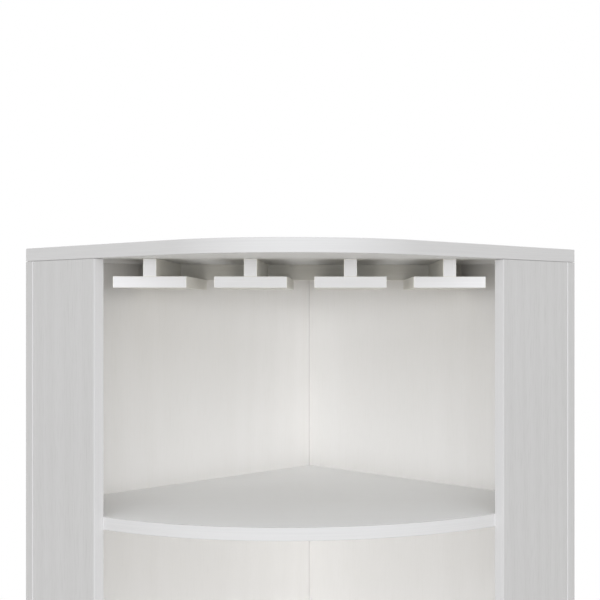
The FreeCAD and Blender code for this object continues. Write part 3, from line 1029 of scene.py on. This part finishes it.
@dataclass
class Doors:
    """The two cupboard doors with their lippings, knobs and strike plates.

    Attributes:
        proud: How far a lipping stands out from the door's edges and back.
        front_arris: How far behind the door's face its lipping starts.
        face_on: How nearly a face has to look forward or back to be the block's front or back.
    """

    finishes: Finishes
    proud: float = 0.1 * MM
    lipping: float = 2.0 * MM
    front_arris: float = 1.0 * MM
    face_on: float = 0.9

    def build(self) -> None:
        """Dresses the doors and lips their edges."""
        for side in Side:
            name = side.label
            dress([f"door_{name}"], self.finishes.facing)
            dress([f"knob_{name}"], self.finishes.satin_nickel)
            steel = ("pivot_pins", "knob_screw", "strike_plate", "strike_screw")
            dress([f"{part}_{name}" for part in steel], self.finishes.zinc_steel)
            self._lip(side)

    def _lip(self, side: Side) -> None:
        """Makes the band round a door's four edges: a block whose inside is bridged out."""
        body = f"door_{side.label}"
        low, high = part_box(body)
        front = low.y + self.front_arris
        size = (high.x - low.x + 2 * self.proud, high.y - front, high.z - low.z + 2 * self.proud)
        middle = ((low.x + high.x) / 2, (front + high.y) / 2 - self.proud, (low.z + high.z) / 2)
        bpy.ops.object.select_all(action="DESELECT")
        bpy.ops.mesh.primitive_cube_add(size=1, location=middle, scale=size)
        ring = bpy.context.object
        ring.name = f"lipping_{body}"
        fix_place(ring)
        with editing(ring):
            pick_faces(ring, lambda centre, normal: abs(normal.y) > self.face_on)
            bpy.ops.mesh.inset(thickness=self.lipping)
            bpy.ops.mesh.bridge_edge_loops()
            bpy.ops.mesh.select_all(action="SELECT")
            bpy.ops.mesh.normals_make_consistent(inside=False)
        finish_piece(ring, body, self.finishes.upright_edging)


@dataclass
class Fittings:
    """The screws, dowels, pins, bushes, catches and glides of the carcass."""

    finishes: Finishes

    def build(self) -> None:
        """Dresses the fittings."""
        screws = ("shelf", "corner", "stile", "stemware_rail", "back_rail", "catch")
        dress([f"{part}_screws" for part in screws] + ["shelf_pins"], self.finishes.zinc_steel)
        dress(["top_dowels", "plinth_dowels"], self.finishes.beech)
        dress(["hinge_bushes", "floor_glides"], self.finishes.nylon)
        dress([f"magnetic_catch_{side.label}" for side in Side], self.finishes.catch_housing)


@dataclass(frozen=True)
class FarLight:
    """A light that stands far off, so that it lights the bay as evenly as its front.

    Attributes:
        elevation: How high it stands, in degrees.
        azimuth: How far round from the cabinet's front, in degrees.
        softness: The angle that it spans, in degrees.
    """

    name: str
    elevation: float
    azimuth: float
    strength: float
    softness: float = 20.0


@dataclass(frozen=True)
class SoftBox:
    """An oblong lamp that points at a target."""

    name: str
    place: tuple[float, float, float]
    target: tuple[float, float, float]
    size: tuple[float, float]
    watts: float


@dataclass
class Studio:
    """A plain pale floor that fades into a white room, and soft lights.

    The keys are narrower than the fills. The stiles' soft shadows from them leave the bright
    band round the inner corner.

    Attributes:
        fade_from: How far out the floor starts to fade into the room.
        fade_to: How far out it has faded.
        near_glow: How much of the floor's white near the cabinet is the room's.
        ambient: The strength of the room's light, where 1 is white.
    """

    floor_radius: float = 9.0
    floor_corners: int = 96
    floor_colour: str = "#C9C6C1"
    floor_seen_colour: str = "#F2F2F1"
    white: str = "#FFFFFF"
    fade_from: float = 1.6
    fade_to: float = 5.0
    near_glow: float = 0.55
    ambient: float = 0.59
    light_colour: str = "#F3F8FF"
    far_lights: tuple[FarLight, ...] = (
        FarLight("key_left", elevation=1, azimuth=-26, strength=0.52, softness=11.0),
        FarLight("key_right", elevation=1, azimuth=26, strength=0.46, softness=11.0),
        FarLight("fill_left", elevation=0, azimuth=-12, strength=0.31),
        FarLight("fill_right", elevation=0, azimuth=12, strength=0.29),
        FarLight("back_left", elevation=20, azimuth=-140, strength=0.35),
        FarLight("back_right", elevation=20, azimuth=140, strength=0.35),
        FarLight("overhead", elevation=78, azimuth=180, strength=0.12),
    )
    ceiling: SoftBox = SoftBox(
        "ceiling", place=(0, -2.5, 2.6), target=(0, -2.5, 0), size=(3.0, 2.0), watts=37
    )

    def build(self) -> None:
        """Builds the floor, the world and the lights."""
        self._floor()
        self._world()
        for light in self.far_lights:
            self._far_light(light)
        self._soft_box(self.ceiling)

    def _floor(self) -> None:
        """Makes the floor: a disc whose colour fades into the white of the room."""
        bpy.ops.object.select_all(action="DESELECT")
        bpy.ops.mesh.primitive_circle_add(
            vertices=self.floor_corners, radius=self.floor_radius, fill_type="NGON"
        )
        floor = bpy.context.object
        floor.name = "studio_floor"
        material = start_material("matt_white_vinyl_sweep")
        tree = material.node_tree
        place = add_node(tree, "ShaderNodeTexCoord").outputs["Object"]
        distance = add_node(tree, "ShaderNodeVectorMath", {0: place}, operation="LENGTH")
        fade = add_node(
            tree, "ShaderNodeMapRange",
            {
                "Value": distance.outputs["Value"], "From Min": self.fade_from,
                "From Max": self.fade_to,
            },
            interpolation_type="SMOOTHSTEP",
        )
        seen = self._seen(tree)
        share = add_node(
            tree, "ShaderNodeMapRange",
            {"Value": fade.outputs[0], "To Min": self.near_glow, "To Max": 1.0},
        )
        glow = add_node(
            tree, "ShaderNodeMath", {0: share.outputs[0], 1: seen}, operation="MULTIPLY"
        )
        tint = add_node(
            tree, "ShaderNodeMix",
            {
                "Factor": seen, "A": to_linear(self.floor_colour),
                "B": to_linear(self.floor_seen_colour),
            },
            data_type="RGBA",
        )
        vinyl = add_node(tree, "ShaderNodeBsdfDiffuse", {"Color": tint.outputs["Result"]})
        white = add_node(tree, "ShaderNodeEmission", {"Color": to_linear(self.white)})
        surface = add_node(
            tree, "ShaderNodeMixShader",
            {0: glow.outputs[0], 1: vinyl.outputs[0], 2: white.outputs[0]},
        )
        add_node(tree, "ShaderNodeOutputMaterial", {"Surface": surface.outputs[0]})
        floor.data.materials.append(material)

    @staticmethod
    def _seen(tree: bpy.types.NodeTree) -> bpy.types.NodeSocket:
        """Gives 1 for rays that the camera, a gloss or a glass sends, and 0 for lighting rays."""
        path = add_node(tree, "ShaderNodeLightPath").outputs
        first = add_node(
            tree, "ShaderNodeMath", {0: path["Is Camera Ray"], 1: path["Is Glossy Ray"]},
            operation="MAXIMUM",
        )
        return add_node(
            tree, "ShaderNodeMath", {0: first.outputs[0], 1: path["Is Transmission Ray"]},
            operation="MAXIMUM",
        ).outputs[0]

    def _world(self) -> None:
        """Makes the room: white where it is seen, and a soft light from all round otherwise."""
        world = bpy.data.worlds.new("white_room")
        world.use_nodes = True
        tree = world.node_tree
        tree.nodes.clear()
        strength = add_node(
            tree, "ShaderNodeMapRange",
            {"Value": self._seen(tree), "To Min": self.ambient, "To Max": 1.0},
        )
        room = add_node(
            tree, "ShaderNodeBackground",
            {"Color": to_linear(self.white), "Strength": strength.outputs[0]},
        )
        add_node(tree, "ShaderNodeOutputWorld", {"Surface": room.outputs[0]})
        bpy.context.scene.world = world

    def _far_light(self, light: FarLight) -> None:
        """Adds one light that stands far off."""
        lamp = bpy.data.lights.new(light.name, "SUN")
        lamp.angle = math.radians(light.softness)
        lamp.energy = light.strength
        rise, turn = math.radians(light.elevation), math.radians(light.azimuth)
        level = Vector((math.sin(turn), -math.cos(turn), 0)) * math.cos(rise)
        away = level + Vector((0, 0, math.sin(rise)))
        self._hang(light.name, lamp, Vector((0, 0, 0)), away)

    def _soft_box(self, box: SoftBox) -> None:
        """Adds one soft box."""
        lamp = bpy.data.lights.new(box.name, "AREA")
        lamp.shape = "RECTANGLE"
        lamp.size, lamp.size_y = box.size
        lamp.energy = box.watts
        self._hang(box.name, lamp, Vector(box.place), Vector(box.place) - Vector(box.target))

    def _hang(self, name: str, lamp: bpy.types.Light, place: Vector, away: Vector) -> None:
        """Colours a lamp and hangs it with its back to a direction."""
        lamp.color = to_linear(self.light_colour)[:3]
        stand = bpy.data.objects.new(name, lamp)
        stand.location = place
        stand.rotation_euler = away.to_track_quat("Z", "Y").to_euler()
        bpy.context.scene.collection.objects.link(stand)


@dataclass(frozen=True)
class PhotoCamera:
    """The photograph's camera, as fitted to the outline and the joints of the cabinet.

    Attributes:
        turn: How far it is turned to the left, in radians. It looks level.
        focal_px: The lens's length in pixels of the frame.
        centre_x_px: The pixel that the lens points at, from the left.
        centre_y_px: The same pixel, from the top.
    """

    place: tuple[float, float, float] = (0.0482, -1.6855, 1.7235)
    turn: float = -0.0444
    frame_px: float = 600.0
    focal_px: float = 1152.97
    centre_x_px: float = 388.31
    centre_y_px: float = 302.96
    sensor_mm: float = 36.0

    def build(self) -> None:
        """Adds the camera and makes it the scene's."""
        camera = bpy.data.cameras.new("photo_camera")
        camera.sensor_width = self.sensor_mm
        camera.lens = self.focal_px * self.sensor_mm / self.frame_px
        camera.shift_x = 0.5 - self.centre_x_px / self.frame_px
        camera.shift_y = self.centre_y_px / self.frame_px - 0.5
        stand = bpy.data.objects.new("photo_camera", camera)
        stand.location = self.place
        stand.rotation_euler = (math.pi / 2, 0, self.turn)
        bpy.context.scene.collection.objects.link(stand)
        bpy.context.scene.camera = stand
        bpy.context.scene.view_settings.view_transform = "Standard"


def main() -> None:
    """Builds the camera, the studio and each sub-assembly in order."""
    logging.basicConfig(level=logging.INFO, format="%(name)s: %(message)s")
    PhotoCamera().build()
    Studio().build()
    finishes = Finishes()
    bander = EdgeBander()
    plan = Plan.from_frame()
    Carcass(plan, finishes, bander).build()
    StemwareRack(plan, finishes, bander).build()
    Doors(finishes).build()
    Fittings(finishes).build()


if __name__ == "__main__":
    main()
